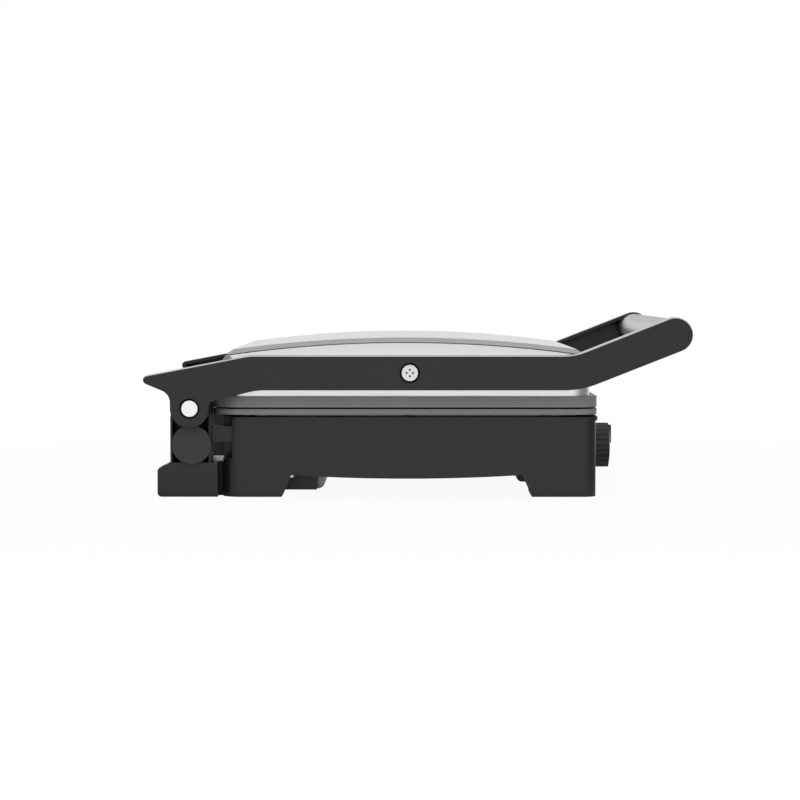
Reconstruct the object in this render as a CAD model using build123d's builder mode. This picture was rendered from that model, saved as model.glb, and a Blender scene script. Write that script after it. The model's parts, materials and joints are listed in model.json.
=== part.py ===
from build123d import *
import os
from math import cos, floor, radians, sin, tan

os.makedirs("parts", exist_ok=True)

# Contact grill with a floating lid on two side arms. All sizes are in millimetres.
# X runs from side to side, -Y is the front with the knob, and Z = 0 is the worktop.

# Clearances
running_clearance = 0.05
seat_clearance = 0.2
passing_gap = 0.3

# Base housing
base_half_width = 150.0
base_front = -127.0
base_rear = 139.0
base_bottom = 0.5
base_top = 57.2
base_wall = 2.5
base_front_radius = 10.0
base_rear_radius = 14.0
front_lip = 1.4
front_lip_height = 2.7
deck_border = 16.0
deck_opening_radius = 14.0
sole_thickness = 2.5
front_skirt_bottom = 4.4

# Arches between the feet
arch_front_foot = -81.4
arch_rear_foot = 96.7
arch_side_slope = 7.0
arch_height = 16.0
arch_sag = 2.6
rear_arch_half_width = 112.0
rear_arch_height = 15.0

# Bottom cover, with the control bulge and the rails of the drip tray
cover_thickness = 2.5
cover_level = 16.0
cover_post_radius = 5.0
cover_post_inset = 9.0
cover_post_rows = (-100.0, 10.0, 92.0)
cover_screw_radius = 1.9
cover_screw_head_radius = 3.8
cover_screw_head_height = 2.0
cover_screw_length = 14.0
bulge_half_width = 60.0
bulge_depth = 50.0
bulge_bottom = 4.4
vent_count = 9
vent_pitch = 12.0
vent_length = 60.0
vent_width = 3.0
foot_radius = 9.0
foot_inset = 15.0
foot_stem_radius = 3.0

# Drip tray
tray_half_width = 103.0
tray_front = 67.0
tray_rear = 165.0
tray_bottom = 2.5
tray_height = 10.5
tray_wall = 1.6
tray_flange = 3.6
tray_flange_thickness = 1.6
tray_nose_radius = 5.5
rail_thickness = 3.0
rail_lip_thickness = 2.0

# Reflector pans
sheet_thickness = 0.8
lower_pan_depth = 15.0
upper_pan_depth = 14.5
pan_radius = 12.0
support_radius = 2.5

# Grill plates
plate_front_overhang = 1.0
plate_rear_overhang = 7.0
plate_front_radius = 15.0
plate_rear_radius = 21.0
plate_pad_height = 0.9
plate_pad_radius = 4.0
lower_rim_thickness = 4.0
upper_rim_thickness = 7.6
plate_gap = 1.2
plate_border = 9.0
plate_floor_depth = 3.0
plate_floor_thickness = 5.0
rib_pitch = 9.4
rib_base_width = 5.4
rib_slope = 70.0
rib_height = 2.4
rib_end_margin = 7.0
spout_half_width = 11.0
spout_length = 6.0

# Heating elements
element_radius = 3.2
element_inset = 38.0
element_bend = 22.0
inner_bend = 14.0
terminal_bend = 7.0
terminal_spacing = 30.0
terminal_setback = 60.0
terminal_drop = 18.0

# Lid shell
lid_setback = 4.0
lid_end_setback = 5.0
lid_height = 41.7
lid_wall = 1.6
lid_corner_radius = 16.0
lid_roll_radius = 18.0
lid_arc_radius = 900.0
lid_arc_half_angle = 9.2
lid_crown = 1.0
bevel_width = 7.2
bevel_drop = 2.6
bevel_setback = 2.8
groove_width = 1.2
groove_depth = 0.7
shoulder_height = 9.6
lid_post_radius = 4.0
lid_post_inset = 5.2
lid_post_setback = 23.0
lid_screw_radius = 1.6
lid_screw_head_radius = 3.2
lid_screw_head_height = 1.3
lid_screw_length = 9.0
lid_frame_lift = 1.8

# Arms, handle and pins
arm_gap = 4.0
arm_thickness = 16.0
arm_height = 24.4
arm_rim = 2.6
arm_pocket_depth = 11.0
arm_rib_thickness = 2.0
arm_rib_pitch = 34.0
arm_edge_radius = 0.8
arm_front_slope = 21.5
arm_tail_slope = 10.9
arm_tail_under_slope = 22.8
arm_drop_slope = 13.9
arm_drop_start = 47.0
hinge_boss_radius = 13.6
tail_reach = 29.2
tail_rise = 20.3
tail_radius = 3.2
bend_inner_radius = 40.0
drop_root_radius = 5.0
tail_root_radius = 9.0
pivot_height = 17.5
pivot_offset = 5.6
handle_reach = 57.5
handle_radius = 10.8
handle_wall = 1.8
spigot_length = 10.0
tie_rod_radius = 3.0
tie_rod_insert = 6.0
pin_head_radius = 5.9
pin_head_height = 1.6
pin_recess_radius = 7.2
pin_recess_depth = 3.4
pin_shank_radius = 4.0
pin_hole_radius = 0.8
pin_hole_circle = 2.25
ring_thickness = 1.2
ring_radius = 6.5
washer_radius = 9.0
pivot_plate_thickness = 5.0
pivot_plate_half_length = 22.0
pivot_collar_radius = 8.5

# Hinge brackets beside the rear of the base
bracket_width = 22.0
bracket_head_radius = 13.7
bracket_rear_half = 15.1
bracket_foot_front = 18.3
bracket_foot_rear = 24.3
bracket_foot_height = 25.0
bracket_foot_rear_height = 20.6
bracket_bottom = 0.6
bracket_flange_width = 8.0
bracket_column = 9.9
bracket_pocket_depth = 17.0
bracket_wall = 1.6
bracket_pocket_top = 7.0
tab_height = 11.4
tab_bottom = 39.3
tab_reach = 16.0
tab_side_wall = 3.2
tab_pan_gap = 1.0
notch_depth = 7.2
notch_bottom = 27.6
notch_side_gap = 2.0
tab_shelf_height = 4.0
tab_screw_radius = 2.0
tab_screw_head_radius = 3.6
cap_radius = 14.1
cap_thickness = 2.0
cap_level = 37.8
cap_stem_radius = 3.5
cap_stem_length = 8.0

# Control knob, thermostat and front lights
knob_level = 28.3
knob_radius = 16.9
knob_depth = 21.0
knob_dome = 1.6
knob_flutes = 24
knob_flute_radius = 1.3
knob_pointer_width = 2.4
knob_pointer_height = 0.9
knob_gap = 0.5
shaft_radius = 3.0
shaft_insert = 12.0
shaft_reach = 14.0
bushing_radius = 5.0
thermostat_half_width = 19.0
thermostat_half_height = 9.5
thermostat_depth = 24.0
lens_radius = 3.0
lens_offset = 44.0
lens_pitch = 16.0
lens_proud = 1.2

# Power inlet and small electrical pieces
gland_x = 80.0
gland_level = 29.0
gland_bore = 3.75
gland_body_radius = 6.0
gland_flange_radius = 8.5
gland_flange_thickness = 3.0
gland_inside = 10.0
terminal_block_length = 30.0
terminal_block_width = 14.0
terminal_block_height = 13.0
fuse_radius = 3.0
fuse_length = 20.0

# Places that follow from the sizes above
deck_half_width = base_half_width - deck_border
deck_front = base_front + deck_border
deck_rear = base_rear - deck_border
plate_half_width = base_half_width
plate_front = base_front - plate_front_overhang
plate_rear = base_rear + plate_rear_overhang
lower_rim_bottom = base_top + sheet_thickness + plate_pad_height
lower_rim_top = lower_rim_bottom + lower_rim_thickness
upper_rim_bottom = lower_rim_top + plate_gap
upper_rim_top = upper_rim_bottom + upper_rim_thickness
lid_half_width = plate_half_width - lid_setback
lid_front = plate_front + lid_end_setback
lid_rear = plate_rear - lid_end_setback
lid_middle = (lid_front + lid_rear) / 2
lid_crest = upper_rim_top + lid_height
frame_level = upper_rim_top + lid_frame_lift
arm_inner = base_half_width + arm_gap
arm_outer = arm_inner + arm_thickness
hinge_y = plate_rear + bracket_head_radius + 2 * passing_gap
hinge_z = upper_rim_bottom
pivot_y = pivot_offset
pivot_z = upper_rim_top + pivot_height
handle_y = lid_front - handle_reach
handle_z = 2 * hinge_z - arm_height / 2
bracket_inner = base_half_width - bracket_width
shank_bore = pin_shank_radius + running_clearance
sides = ((-1, "left"), (1, "right"))


def side_plane(side, x):
    """Plane across X at a distance from the middle, drawn in Y and Z."""
    return Plane.YZ.offset(side * x)


def front_plane(y):
    """Plane across Y, drawn in X and Z, facing the front."""
    return Plane.XZ.offset(-y)


def rounded_plan(level, half_width, front, rear, front_radius, rear_radius, inset=0.0):
    """Rectangle in plan with its own corner radii at the front and at the rear."""
    with BuildSketch(Plane.XY.offset(level)) as plan:
        with Locations((0, (front + rear) / 2)):
            Rectangle(2 * (half_width - inset), rear - front - 2 * inset)
        fillet(plan.vertices().group_by(Axis.Y)[0], max(front_radius - inset, 0.5))
        fillet(plan.vertices().group_by(Axis.Y)[-1], max(rear_radius - inset, 0.5))
    return plan.sketch


def base_plan(level, inset):
    """Outline of the base housing."""
    return rounded_plan(
        level, base_half_width, base_front, base_rear, base_front_radius, base_rear_radius, inset
    )


def deck_plan(level, inset):
    """Outline of the opening in the top of the base, which the pans follow."""
    return rounded_plan(
        level, deck_half_width, deck_front, deck_rear, deck_opening_radius, deck_opening_radius, inset
    )


def plate_plan(level, inset):
    """Outline of both grill plates."""
    return rounded_plan(
        level, plate_half_width, plate_front, plate_rear, plate_front_radius, plate_rear_radius, inset
    )


def lid_plan(level, inset):
    """Outline of the lid shell."""
    return rounded_plan(
        level, lid_half_width, lid_front, lid_rear, lid_corner_radius, lid_corner_radius, inset
    )


def block(low, high):
    """Rectangular block between two corners, kept apart from the part being built."""
    size = [high[axis] - low[axis] for axis in range(3)]
    middle = [(high[axis] + low[axis]) / 2 for axis in range(3)]
    return Pos(*middle) * Box(*size, mode=Mode.PRIVATE)


def side_block(side, inner, outer, front, rear, bottom, top):
    """Rectangular block on one side of the middle, from its inner to its outer distance."""
    near, far = sorted((side * inner, side * outer))
    return block((near, front, bottom), (far, rear, top))


def save(piece, name):
    """Label one sub-part and write it to its own file."""
    piece.part.label = name
    export_step(piece.part, f"parts/{name}.step")


# Base housing: a hollow moulding with four corner feet and a notch for each hinge bracket
notch_inner = bracket_inner - notch_side_gap
notch_front = base_rear - notch_depth
slot_inner = deck_half_width + tab_pan_gap
slot_outer = base_half_width - tab_side_wall
tab_top = tab_bottom + tab_height
tab_end = base_rear - notch_depth - base_wall - tab_reach
cover_underside = cover_level
cover_top = cover_level + cover_thickness
post_x = base_half_width - cover_post_inset
bushing_front = base_front - knob_gap / 2

with BuildPart() as housing_hollow:
    extrude(base_plan(-base_wall, base_wall), amount=base_top)
    for side, side_name in sides:
        add(
            side_block(
                side,
                notch_inner - base_wall,
                base_half_width,
                notch_front - base_wall,
                base_rear,
                notch_bottom - base_wall,
                base_top,
            ),
            mode=Mode.SUBTRACT,
        )

with BuildPart() as arches:
    with BuildSketch(Plane.YZ):
        with BuildLine():
            rear_top = (arch_rear_foot - arch_side_slope, arch_height)
            front_top = (arch_front_foot + arch_side_slope, arch_height)
            middle_top = ((arch_rear_foot + arch_front_foot) / 2, arch_height - arch_sag)
            Polyline(
                front_top, (arch_front_foot, 0), (arch_rear_foot, 0), rear_top
            )
            ThreePointArc(rear_top, middle_top, front_top)
        make_face()
    extrude(amount=2 * base_half_width, both=True)

with BuildPart() as base_housing:
    extrude(base_plan(base_bottom, 0), amount=base_top - base_bottom)
    extrude(
        rounded_plan(
            base_top - front_lip_height,
            base_half_width,
            base_front - front_lip,
            base_rear,
            base_front_radius + front_lip,
            base_rear_radius,
        ),
        amount=front_lip_height,
    )
    for side, side_name in sides:
        add(
            side_block(
                side,
                notch_inner,
                2 * base_half_width,
                notch_front,
                base_rear + notch_depth,
                notch_bottom,
                base_top + base_wall,
            ),
            mode=Mode.SUBTRACT,
        )
    add(housing_hollow.part, mode=Mode.SUBTRACT)
    extrude(deck_plan(base_top - 2 * base_wall, 0), amount=4 * base_wall, mode=Mode.SUBTRACT)
    # Soles under the four corner feet
    extrude(base_plan(base_bottom, base_wall / 2), amount=sole_thickness)
    add(
        block(
            (-rear_arch_half_width, base_front + base_wall, 0),
            (rear_arch_half_width, base_rear - base_wall, base_bottom + sole_thickness),
        ),
        mode=Mode.SUBTRACT,
    )
    # Posts under the deck that take the cover screws
    with BuildSketch(Plane.XY.offset(cover_top)):
        with Locations([(side * post_x, row) for side, side_name in sides for row in cover_post_rows]):
            Circle(cover_post_radius)
    extrude(amount=base_top - base_wall / 2 - cover_top)
    # Shelves that carry the tabs of the hinge brackets
    for side, side_name in sides:
        add(
            side_block(
                side,
                slot_inner,
                base_half_width - base_wall / 2,
                tab_end,
                notch_front - base_wall / 2,
                tab_bottom - tab_shelf_height,
                tab_bottom,
            )
        )
        add(
            side_block(
                side,
                slot_inner - seat_clearance,
                slot_outer + seat_clearance,
                tab_end - seat_clearance,
                base_rear,
                tab_bottom,
                tab_top + seat_clearance,
            ),
            mode=Mode.SUBTRACT,
        )
    # Arches between the feet at both sides, at the rear and under the front wall
    add(arches.part, mode=Mode.SUBTRACT)
    add(
        block(
            (-rear_arch_half_width, base_rear - 2 * base_wall, 0),
            (rear_arch_half_width, base_rear + base_wall, rear_arch_height),
        ),
        mode=Mode.SUBTRACT,
    )
    add(
        block(
            (-rear_arch_half_width, base_front - base_wall, 0),
            (rear_arch_half_width, base_front + 2 * base_wall, front_skirt_bottom),
        ),
        mode=Mode.SUBTRACT,
    )
    # Holes for the screws, the feet, the thermostat, the lights and the cord gland
    with BuildSketch(Plane.XY.offset(cover_top)):
        with Locations([(side * post_x, row) for side, side_name in sides for row in cover_post_rows]):
            Circle(cover_screw_radius + seat_clearance)
    extrude(amount=cover_screw_length, mode=Mode.SUBTRACT)
    with BuildSketch(Plane.XY):
        with Locations([(side * (base_half_width - foot_inset), y) for side, side_name in sides
                        for y in (base_front + foot_inset, base_rear - foot_inset)]):
            Circle(foot_stem_radius + seat_clearance)
    extrude(amount=2 * sole_thickness, mode=Mode.SUBTRACT)
    with BuildSketch(Plane.XY.offset(tab_bottom - tab_shelf_height)):
        with Locations([(side * (slot_inner + slot_outer) / 2, tab_end + tab_reach / 2)
                        for side, side_name in sides]):
            Circle(tab_screw_radius + seat_clearance)
    extrude(amount=2 * tab_shelf_height, mode=Mode.SUBTRACT)
    with BuildSketch(front_plane(base_front - base_wall)):
        with Locations((0, knob_level)):
            Circle(bushing_radius + seat_clearance)
        with Locations([(lens_offset + step * lens_pitch, knob_level) for step in range(2)]):
            Circle(lens_radius + seat_clearance)
    extrude(amount=-3 * base_wall, mode=Mode.SUBTRACT)
    with BuildSketch(front_plane(base_rear + base_wall)):
        with Locations((gland_x, gland_level)):
            Circle(gland_body_radius + seat_clearance)
    extrude(amount=3 * base_wall, mode=Mode.SUBTRACT)
save(base_housing, "base_housing")

# Rubber feet with stems through the soles
with BuildPart() as rubber_feet:
    foot_places = [(side * (base_half_width - foot_inset), y) for side, side_name in sides
                   for y in (base_front + foot_inset, base_rear - foot_inset)]
    with BuildSketch(Plane.XY):
        with Locations(foot_places):
            Circle(foot_radius)
    extrude(amount=base_bottom)
    with BuildSketch(Plane.XY.offset(base_bottom)):
        with Locations(foot_places):
            Circle(foot_stem_radius)
    extrude(amount=sole_thickness + 1.0)
save(rubber_feet, "rubber_feet")

# Bottom cover with vents, the bulge under the controls and the rails for the tray
rail_inner = tray_half_width + tray_flange + passing_gap
rail_rear = base_rear - base_wall - seat_clearance
rail_lip_top = tray_bottom + tray_height - tray_flange_thickness - 2 * passing_gap
rail_front = tray_front + 5.8
bulge_front = base_front + base_wall + passing_gap
bulge_rear = bulge_front + bulge_depth

with BuildPart() as bottom_cover:
    extrude(base_plan(cover_level, base_wall + seat_clearance), amount=cover_thickness)
    add(block((-bulge_half_width, bulge_front, bulge_bottom), (bulge_half_width, bulge_rear, cover_top)))
    fillet(bottom_cover.edges().filter_by(Axis.X).group_by(Axis.Z)[0].sort_by(Axis.Y)[-1], 4.0)
    add(
        block(
            (-bulge_half_width + base_wall, bulge_front + base_wall, bulge_bottom + base_wall),
            (bulge_half_width - base_wall, bulge_rear - base_wall, cover_top),
        ),
        mode=Mode.SUBTRACT,
    )
    for side, side_name in sides:
        add(
            side_block(
                side,
                rail_inner,
                rail_inner + rail_thickness,
                rail_front,
                rail_rear,
                tray_bottom,
                cover_level,
            )
        )
        add(
            side_block(
                side,
                tray_half_width + 2 * passing_gap,
                rail_inner,
                rail_front,
                rail_rear,
                rail_lip_top - rail_lip_thickness,
                rail_lip_top,
            )
        )
    with BuildSketch(Plane.XY.offset(cover_level)):
        with Locations((0, (bulge_rear + tray_front) / 2)):
            with GridLocations(vent_pitch, 1, vent_count, 1):
                SlotOverall(vent_length, vent_width, rotation=90)
    extrude(amount=cover_thickness, mode=Mode.SUBTRACT)
    with BuildSketch(Plane.XY.offset(cover_level)):
        with Locations([(side * post_x, row) for side, side_name in sides for row in cover_post_rows]):
            Circle(cover_screw_radius + seat_clearance)
    extrude(amount=cover_thickness, mode=Mode.SUBTRACT)
save(bottom_cover, "bottom_cover")

with BuildPart() as cover_screws:
    screw_places = [(side * post_x, row) for side, side_name in sides for row in cover_post_rows]
    with BuildSketch(Plane.XY.offset(cover_level - cover_screw_head_height)):
        with Locations(screw_places):
            Circle(cover_screw_head_radius)
    extrude(amount=cover_screw_head_height)
    with BuildSketch(Plane.XY.offset(cover_level)):
        with Locations(screw_places):
            Circle(cover_screw_radius)
    extrude(amount=cover_screw_length)
    with BuildSketch(Plane.XY.offset(cover_level - cover_screw_head_height)):
        with Locations(screw_places):
            RegularPolygon(cover_screw_radius, 6)
    extrude(amount=cover_screw_head_height / 2, mode=Mode.SUBTRACT)
save(cover_screws, "cover_screws")

# Drip tray that slides out to the rear, with flanges on the rails and a pull lip
tray_top = tray_bottom + tray_height
with BuildPart() as drip_tray:
    add(block((-tray_half_width, tray_front, tray_bottom), (tray_half_width, tray_rear, tray_top)))
    fillet(drip_tray.edges().filter_by(Axis.X).group_by(Axis.Z)[0], tray_nose_radius)
    fillet(drip_tray.edges().filter_by(Axis.Z), 4.0)
    add(
        block(
            (-tray_half_width + tray_wall, tray_front + tray_wall, tray_bottom + tray_wall),
            (tray_half_width - tray_wall, tray_rear - tray_wall, tray_top + tray_wall),
        ),
        mode=Mode.SUBTRACT,
    )
    for side, side_name in sides:
        add(
            side_block(
                side,
                tray_half_width - tray_wall / 2,
                tray_half_width + tray_flange,
                rail_front,
                rail_rear,
                tray_top - tray_flange_thickness,
                tray_top,
            )
        )
    add(
        block(
            (-tray_half_width / 3, tray_rear - tray_wall / 2, tray_top - tray_flange_thickness),
            (tray_half_width / 3, tray_rear + 2 * tray_flange, tray_top),
        )
    )
save(drip_tray, "drip_tray")


# Reflector pans of thin sheet, each with a rim, holes for the terminals and pips for the element
terminal_rear = deck_rear - element_inset
terminal_y = terminal_rear - terminal_setback
element_half_width = deck_half_width - element_inset
lower_element_level = lower_rim_top - plate_floor_depth - plate_floor_thickness - element_radius - running_clearance
upper_element_level = upper_rim_top + element_radius + running_clearance
support_places = [(side * element_half_width, deck_front + element_inset + row) for side, side_name in sides
                  for row in (element_bend + 20.0, element_bend + 70.0)]
pan_bottom = base_top - lower_pan_depth
pan_top = frame_level + upper_pan_depth

with BuildPart() as lower_reflector:
    extrude(deck_plan(base_top, -base_wall), amount=sheet_thickness)
    extrude(deck_plan(pan_bottom, seat_clearance), amount=base_top + sheet_thickness - pan_bottom)
    extrude(
        deck_plan(pan_bottom + sheet_thickness, seat_clearance + sheet_thickness),
        amount=lower_pan_depth + base_wall,
        mode=Mode.SUBTRACT,
    )
    with BuildSketch(Plane.XY.offset(pan_bottom + sheet_thickness / 2)):
        with Locations(support_places):
            Circle(support_radius)
    extrude(amount=lower_element_level - element_radius - running_clearance - pan_bottom - sheet_thickness / 2)
    with BuildSketch(Plane.XY.offset(pan_bottom)):
        with Locations((-terminal_spacing / 2, terminal_y), (terminal_spacing / 2, terminal_y)):
            Circle(element_radius + seat_clearance)
    extrude(amount=sheet_thickness, mode=Mode.SUBTRACT)
save(lower_reflector, "lower_reflector")

lid_frame_outer = lid_wall + seat_clearance
with BuildPart() as upper_reflector:
    extrude(lid_plan(frame_level, lid_frame_outer), amount=sheet_thickness)
    extrude(deck_plan(frame_level, 0), amount=upper_pan_depth)
    extrude(
        deck_plan(frame_level, sheet_thickness),
        amount=upper_pan_depth - sheet_thickness,
        mode=Mode.SUBTRACT,
    )
    with BuildSketch(Plane.XY.offset(pan_top - sheet_thickness / 2)):
        with Locations(support_places):
            Circle(support_radius)
    extrude(amount=-(pan_top - sheet_thickness / 2 - upper_element_level - element_radius - running_clearance))
    with BuildSketch(Plane.XY.offset(pan_top - sheet_thickness)):
        with Locations((-terminal_spacing / 2, terminal_y), (terminal_spacing / 2, terminal_y)):
            Circle(element_radius + seat_clearance)
    extrude(amount=sheet_thickness, mode=Mode.SUBTRACT)
    lid_post_places = [
        (side * (lid_half_width - lid_wall - lid_post_inset), y)
        for side, side_name in sides
        for y in (lid_front + lid_post_setback, lid_rear - lid_post_setback)
    ]
    with BuildSketch(Plane.XY.offset(frame_level)):
        with Locations(lid_post_places):
            Circle(lid_screw_radius + seat_clearance)
    extrude(amount=sheet_thickness, mode=Mode.SUBTRACT)
save(upper_reflector, "upper_reflector")


def element_route(level, terminal_end):
    """Corners of one heating tube: up one terminal, round the plate and down the other."""
    side_front = deck_front + element_inset
    half = terminal_spacing / 2
    return [
        (-half, terminal_y, terminal_end),
        (-half, terminal_y, level),
        (-half, terminal_rear, level),
        (-element_half_width, terminal_rear, level),
        (-element_half_width, side_front, level),
        (element_half_width, side_front, level),
        (element_half_width, terminal_rear, level),
        (half, terminal_rear, level),
        (half, terminal_y, level),
        (half, terminal_y, terminal_end),
    ]


bends = [
    terminal_bend,
    inner_bend,
    element_bend,
    element_bend,
    element_bend,
    element_bend,
    inner_bend,
    terminal_bend,
]

with BuildPart() as lower_heating_element:
    with BuildLine():
        lower_route = FilletPolyline(
            *element_route(lower_element_level, lower_element_level - terminal_drop), radius=bends
        )
    with BuildSketch(Plane(origin=lower_route @ 0, z_dir=lower_route % 0)):
        Circle(element_radius)
    sweep()
save(lower_heating_element, "lower_heating_element")

with BuildPart() as upper_heating_element:
    with BuildLine():
        upper_route = FilletPolyline(
            *element_route(upper_element_level, upper_element_level + terminal_drop), radius=bends
        )
    with BuildSketch(Plane(origin=upper_route @ 0, z_dir=upper_route % 0)):
        Circle(element_radius)
    sweep()
save(upper_heating_element, "upper_heating_element")


# Grill plates: a rim, a sunk ribbed face and, on the lower one, a spout at the rear
rib_length = plate_rear - plate_front - 2 * (plate_border + rib_end_margin)
rib_count = floor((2 * (plate_half_width - plate_border) - rib_base_width) / rib_pitch)
lower_floor = lower_rim_top - plate_floor_depth
upper_floor = upper_rim_bottom + plate_floor_depth
body_inset = deck_border + sheet_thickness + 1.5
pad_places = [(side * (plate_half_width - deck_border / 2), y) for side, side_name in sides
              for y in (deck_front + 20.0, (deck_front + deck_rear) / 2, deck_rear - 20.0)]

with BuildPart() as lower_grill_plate:
    extrude(plate_plan(lower_rim_bottom, 0), amount=lower_rim_thickness)
    extrude(
        deck_plan(lower_floor - plate_floor_thickness, 2 * sheet_thickness + seat_clearance),
        amount=plate_floor_thickness,
    )
    extrude(plate_plan(lower_floor, plate_border), amount=plate_floor_depth, mode=Mode.SUBTRACT)
    with BuildSketch(front_plane(plate_front + plate_border + rib_end_margin)):
        with Locations((0, lower_floor)):
            with GridLocations(rib_pitch, 1, rib_count, 1):
                Trapezoid(rib_base_width, rib_height, rib_slope, align=(Align.CENTER, Align.MIN))
    extrude(amount=-rib_length)
    add(
        block(
            (-spout_half_width, plate_rear - plate_rear_radius / 2, lower_rim_bottom),
            (spout_half_width, plate_rear + spout_length, lower_floor + plate_floor_depth / 2),
        )
    )
    add(
        block(
            (-spout_half_width + 2.0, plate_rear - plate_border - 1.0, lower_floor),
            (spout_half_width - 2.0, plate_rear + 2 * spout_length, lower_rim_top),
        ),
        mode=Mode.SUBTRACT,
    )
    with BuildSketch(Plane.XY.offset(base_top + sheet_thickness)):
        with Locations(pad_places):
            Circle(plate_pad_radius)
    extrude(amount=plate_pad_height)
save(lower_grill_plate, "lower_grill_plate")

with BuildPart() as upper_grill_plate:
    extrude(plate_plan(upper_rim_bottom, 0), amount=upper_rim_thickness)
    extrude(plate_plan(upper_rim_bottom, plate_border), amount=plate_floor_depth, mode=Mode.SUBTRACT)
    with BuildSketch(front_plane(plate_front + plate_border + rib_end_margin)):
        with Locations((0, upper_floor)):
            with GridLocations(rib_pitch, 1, rib_count, 1):
                Trapezoid(rib_base_width, rib_height, rib_slope, rotation=180, align=(Align.CENTER, Align.MIN))
    extrude(amount=-rib_length)
save(upper_grill_plate, "upper_grill_plate")

# Spring clips that hold the upper plate under the lid frame
clip_width = 16.0
clip_length = 8.0
clip_sheet = 0.6
with BuildPart() as upper_plate_clips:
    for clip_y in (deck_front - clip_length - 1.0, deck_rear + 1.0):
        with BuildSketch(Plane.YZ):
            with Locations((clip_y, upper_rim_top)):
                Rectangle(clip_length, lid_frame_lift, align=(Align.MIN, Align.MIN))
            with Locations((clip_y + clip_sheet, upper_rim_top + clip_sheet)):
                Rectangle(
                    clip_length,
                    lid_frame_lift - 2 * clip_sheet,
                    align=(Align.MIN, Align.MIN),
                    mode=Mode.SUBTRACT,
                )
        extrude(amount=clip_width / 2, both=True)
save(upper_plate_clips, "upper_plate_clips")

# Thermostat behind the knob, with a threaded bushing through the front wall and its nut
thermostat_front = base_front + base_wall
knob_front = base_front - knob_gap - knob_depth
shaft_front = base_front - knob_gap - shaft_insert
with BuildPart() as thermostat:
    add(
        block(
            (-thermostat_half_width, thermostat_front, knob_level - thermostat_half_height),
            (thermostat_half_width, thermostat_front + thermostat_depth, knob_level + thermostat_half_height),
        )
    )
    fillet(thermostat.edges().filter_by(Axis.Y), 2.0)
    with BuildSketch(front_plane(thermostat_front)):
        with Locations((0, knob_level)):
            Circle(bushing_radius)
    extrude(amount=base_wall)
    with BuildSketch(front_plane(bushing_front)):
        with Locations((0, knob_level)):
            Circle(shaft_radius + running_clearance)
    extrude(amount=-(shaft_reach + base_wall + knob_gap), mode=Mode.SUBTRACT)
    with BuildSketch(front_plane(thermostat_front + thermostat_depth)):
        with Locations((0, knob_level)):
            with GridLocations(16.0, 1, 2, 1):
                Rectangle(6.0, 0.8)
    extrude(amount=-8.0)
save(thermostat, "thermostat")

with BuildPart() as knob_shaft:
    with BuildSketch(front_plane(shaft_front)):
        with Locations((0, knob_level)):
            Circle(shaft_radius)
    extrude(amount=-(shaft_insert + knob_gap + base_wall + shaft_reach - 1.0))
    with BuildSketch(front_plane(shaft_front)):
        with Locations((0, knob_level + shaft_radius)):
            Rectangle(2 * shaft_radius, shaft_radius / 1.5)
    extrude(amount=-(shaft_insert - 2.0), mode=Mode.SUBTRACT)
save(knob_shaft, "knob_shaft")

with BuildPart() as control_knob:
    with BuildSketch(Plane.YZ):
        with BuildLine():
            knob_back = base_front - knob_gap
            Line((knob_back, knob_level), (knob_back, knob_level + knob_radius))
            Line((knob_back, knob_level + knob_radius), (knob_front + knob_dome, knob_level + knob_radius))
            RadiusArc(
                (knob_front + knob_dome, knob_level + knob_radius),
                (knob_front, knob_level),
                -(knob_radius**2 + knob_dome**2) / (2 * knob_dome),
            )
            Line((knob_front, knob_level), (knob_back, knob_level))
        make_face()
    revolve(axis=Axis((0, 0, knob_level), (0, 1, 0)))
    with BuildSketch(front_plane(knob_front)):
        with Locations((0, knob_level)):
            with PolarLocations(knob_radius + knob_flute_radius / 2, knob_flutes):
                Circle(knob_flute_radius)
    extrude(amount=-(knob_depth - 3.0), mode=Mode.SUBTRACT)
    with BuildSketch(front_plane(knob_front - knob_pointer_height)):
        with Locations((0, knob_level + knob_radius / 2)):
            SlotOverall(knob_radius - 3.0, knob_pointer_width, rotation=90)
    extrude(amount=-(knob_dome + knob_pointer_height + 1.0))
    with BuildSketch(front_plane(base_front)):
        with Locations((0, knob_level)):
            Circle(shaft_radius + running_clearance)
    extrude(amount=shaft_insert + knob_gap + running_clearance, mode=Mode.SUBTRACT)
    # Hollow back around the hub
    with BuildSketch(front_plane(knob_back)):
        with Locations((0, knob_level)):
            Circle(knob_radius - 3.2)
            Circle(shaft_radius + 3.0, mode=Mode.SUBTRACT)
    extrude(amount=knob_depth - 6.0, mode=Mode.SUBTRACT)
save(control_knob, "control_knob")

with BuildPart() as indicator_lenses:
    with BuildSketch(front_plane(base_front + base_wall)):
        with Locations([(lens_offset + step * lens_pitch, knob_level) for step in range(2)]):
            Circle(lens_radius)
    extrude(amount=base_wall + lens_proud)
    fillet(indicator_lenses.faces().group_by(Axis.Y)[0].edges(), 0.9 * lens_proud)
save(indicator_lenses, "indicator_lenses")

# Cord gland in the rear wall
with BuildPart() as cord_gland:
    with BuildSketch(front_plane(base_rear)):
        with Locations((gland_x, gland_level)):
            Circle(gland_flange_radius)
    extrude(amount=-gland_flange_thickness)
    fillet(cord_gland.faces().sort_by(Axis.Y)[-1].edges(), 1.2)
    with BuildSketch(front_plane(base_rear)):
        with Locations((gland_x, gland_level)):
            Circle(gland_body_radius)
    extrude(amount=base_wall + gland_inside)
    with BuildSketch(front_plane(base_rear - base_wall)):
        with Locations((gland_x, gland_level)):
            RegularPolygon(gland_flange_radius, 6)
    extrude(amount=gland_flange_thickness)
    with BuildSketch(front_plane(base_rear + gland_flange_thickness)):
        with Locations((gland_x, gland_level)):
            Circle(gland_bore)
    extrude(amount=gland_flange_thickness + base_wall + gland_inside, mode=Mode.SUBTRACT)
save(cord_gland, "cord_gland")

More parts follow.
